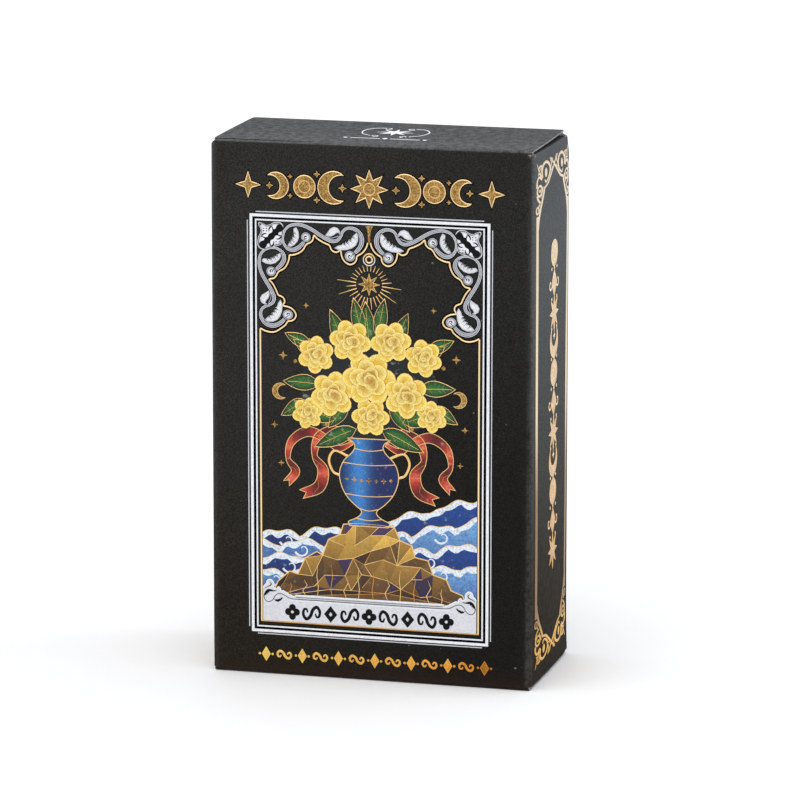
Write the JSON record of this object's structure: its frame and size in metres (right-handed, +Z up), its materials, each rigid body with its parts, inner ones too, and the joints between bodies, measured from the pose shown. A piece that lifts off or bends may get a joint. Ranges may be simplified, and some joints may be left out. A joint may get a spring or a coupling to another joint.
{
  "type": "tarot card deck",
  "caption": "Tarot deck in an upright matt-black folding carton with foil ornament: tuck lids fold open on their creases and the cards and booklet lift out of the sleeve.",
  "frame": {"origin": "middle of the carton's base", "axes": "+Z up along the carton's height, +Y from the front panel to the back panel, +X to the right as seen from the front"},
  "size_m": [0.076, 0.036, 0.126],
  "materials": {
    "black_board": "matt laminated",
    "grey_board": "uncoated",
    "card_stock": "satin",
    "booklet_cover": "satin",
    "booklet_paper": "uncoated",
    "staple_wire": "bright",
    "gold_foil": "hot-stamped foil",
    "silver_foil": "hot-stamped foil",
    "picture_ink": "satin print"
  },
  "bodies": {
    "carton": {"front_panel": "black_board", "back_panel": "black_board", "left_panel": "black_board", "right_panel": "black_board", "glue_flap": "grey_board"},
    "top_lid": {"top_lid": "black_board"},
    "top_tongue": {"top_tongue": "black_board"},
    "top_left_dust_flap": {"top_left_dust_flap": "black_board"},
    "top_right_dust_flap": {"top_right_dust_flap": "black_board"},
    "bottom_lid": {"bottom_lid": "black_board"},
    "bottom_tongue": {"bottom_tongue": "black_board"},
    "bottom_left_dust_flap": {"bottom_left_dust_flap": "black_board"},
    "bottom_right_dust_flap": {"bottom_right_dust_flap": "black_board"},
    "majors": {"major_card_00": "card_stock", "major_card_01": "card_stock", "major_card_02": "card_stock", "major_card_03": "card_stock", "major_card_04": "card_stock", "major_card_05": "card_stock", "major_card_06": "card_stock", "major_card_07": "card_stock", "major_card_08": "card_stock", "major_card_09": "card_stock", "major_card_10": "card_stock", "major_card_11": "card_stock", "major_card_12": "card_stock", "major_card_13": "card_stock", "major_card_14": "card_stock", "major_card_15": "card_stock", "major_card_16": "card_stock", "major_card_17": "card_stock", "major_card_18": "card_stock", "major_card_19": "card_stock", "major_card_20": "card_stock", "major_card_21": "card_stock"},
    "wands": {"wands_pip_cards": "card_stock", "wands_page_card": "card_stock", "wands_knight_card": "card_stock", "wands_queen_card": "card_stock", "wands_king_card": "card_stock"},
    "cups": {"cups_pip_cards": "card_stock", "cups_page_card": "card_stock", "cups_knight_card": "card_stock", "cups_queen_card": "card_stock", "cups_king_card": "card_stock"},
    "swords": {"swords_pip_cards": "card_stock", "swords_page_card": "card_stock", "swords_knight_card": "card_stock", "swords_queen_card": "card_stock", "swords_king_card": "card_stock"},
    "pentacles": {"pentacles_pip_cards": "card_stock", "pentacles_page_card": "card_stock", "pentacles_knight_card": "card_stock", "pentacles_queen_card": "card_stock", "pentacles_king_card": "card_stock"},
    "booklet": {"booklet_cover": "booklet_cover", "booklet_pages": "booklet_paper", "booklet_staples": "staple_wire"}
  },
  "joints": [
    {"name": "majors_lift", "type": "slide", "parent": "carton", "child": "majors", "axis": [0, 0, 1], "range_m": [0, 0.0256]},
    {"name": "wands_lift", "type": "slide", "parent": "carton", "child": "wands", "axis": [0, 0, 1], "range_m": [0, 0.0267]},
    {"name": "cups_lift", "type": "slide", "parent": "carton", "child": "cups", "axis": [0, 0, 1], "range_m": [0, 0.0278]},
    {"name": "swords_lift", "type": "slide", "parent": "carton", "child": "swords", "axis": [0, 0, 1], "range_m": [0, 0.02889]},
    {"name": "pentacles_lift", "type": "slide", "parent": "carton", "child": "pentacles", "axis": [0, 0, 1], "range_m": [0, 0.02999]},
    {"name": "booklet_lift", "type": "slide", "parent": "carton", "child": "booklet", "axis": [0, 0, 1], "range_m": [0, 0.0245]},
    {"name": "top_lid_fold", "type": "hinge", "parent": "carton", "child": "top_lid", "pos_m": [0, -0.01775, 0.12575], "axis": [1, 0, 0], "range_deg": [0, 209.54]},
    {"name": "top_tongue_fold", "type": "hinge", "parent": "top_lid", "child": "top_tongue", "pos_m": [0, 0.0171, 0.12575], "axis": [-1, 0, 0], "range_deg": [0, 20.95]},
    {"name": "top_left_dust_fold", "type": "hinge", "parent": "carton", "child": "top_left_dust_flap", "pos_m": [-0.03775, 0, 0.12515], "axis": [0, -1, 0], "range_deg": [0, 167.63]},
    {"name": "top_right_dust_fold", "type": "hinge", "parent": "carton", "child": "top_right_dust_flap", "pos_m": [0.03775, 0, 0.12515], "axis": [0, 1, 0], "range_deg": [0, 167.63]},
    {"name": "bottom_lid_fold", "type": "hinge", "parent": "carton", "child": "bottom_lid", "pos_m": [0, -0.01775, 0.00025], "axis": [-1, 0, 0], "range_deg": [0, 209.5]},
    {"name": "bottom_tongue_fold", "type": "hinge", "parent": "bottom_lid", "child": "bottom_tongue", "pos_m": [0, 0.0171, 0.00027], "axis": [1, 0, 0], "range_deg": [0, 20.95]},
    {"name": "bottom_left_dust_fold", "type": "hinge", "parent": "carton", "child": "bottom_left_dust_flap", "pos_m": [-0.03775, 0, 0.00085], "axis": [0, 1, 0], "range_deg": [0, 167.6]},
    {"name": "bottom_right_dust_fold", "type": "hinge", "parent": "carton", "child": "bottom_right_dust_flap", "pos_m": [0.03775, 0, 0.00085], "axis": [0, -1, 0], "range_deg": [0, 167.6]}
  ],
  "couplings": [
    {"joint": "wands_lift", "follows": "majors_lift", "ratio": 1.0429},
    {"joint": "cups_lift", "follows": "majors_lift", "ratio": 1.0857},
    {"joint": "swords_lift", "follows": "majors_lift", "ratio": 1.1286},
    {"joint": "pentacles_lift", "follows": "majors_lift", "ratio": 1.1714},
    {"joint": "booklet_lift", "follows": "majors_lift", "ratio": 0.95714},
    {"joint": "top_lid_fold", "follows": "majors_lift", "rad_per_m": 142.86},
    {"joint": "top_tongue_fold", "follows": "majors_lift", "rad_per_m": 14.286},
    {"joint": "top_left_dust_fold", "follows": "majors_lift", "rad_per_m": 114.29},
    {"joint": "top_right_dust_fold", "follows": "majors_lift", "rad_per_m": 114.29},
    {"joint": "bottom_tongue_fold", "follows": "bottom_lid_fold", "ratio": 0.1},
    {"joint": "bottom_left_dust_fold", "follows": "bottom_lid_fold", "ratio": 0.8},
    {"joint": "bottom_right_dust_fold", "follows": "bottom_lid_fold", "ratio": 0.8}
  ]
}
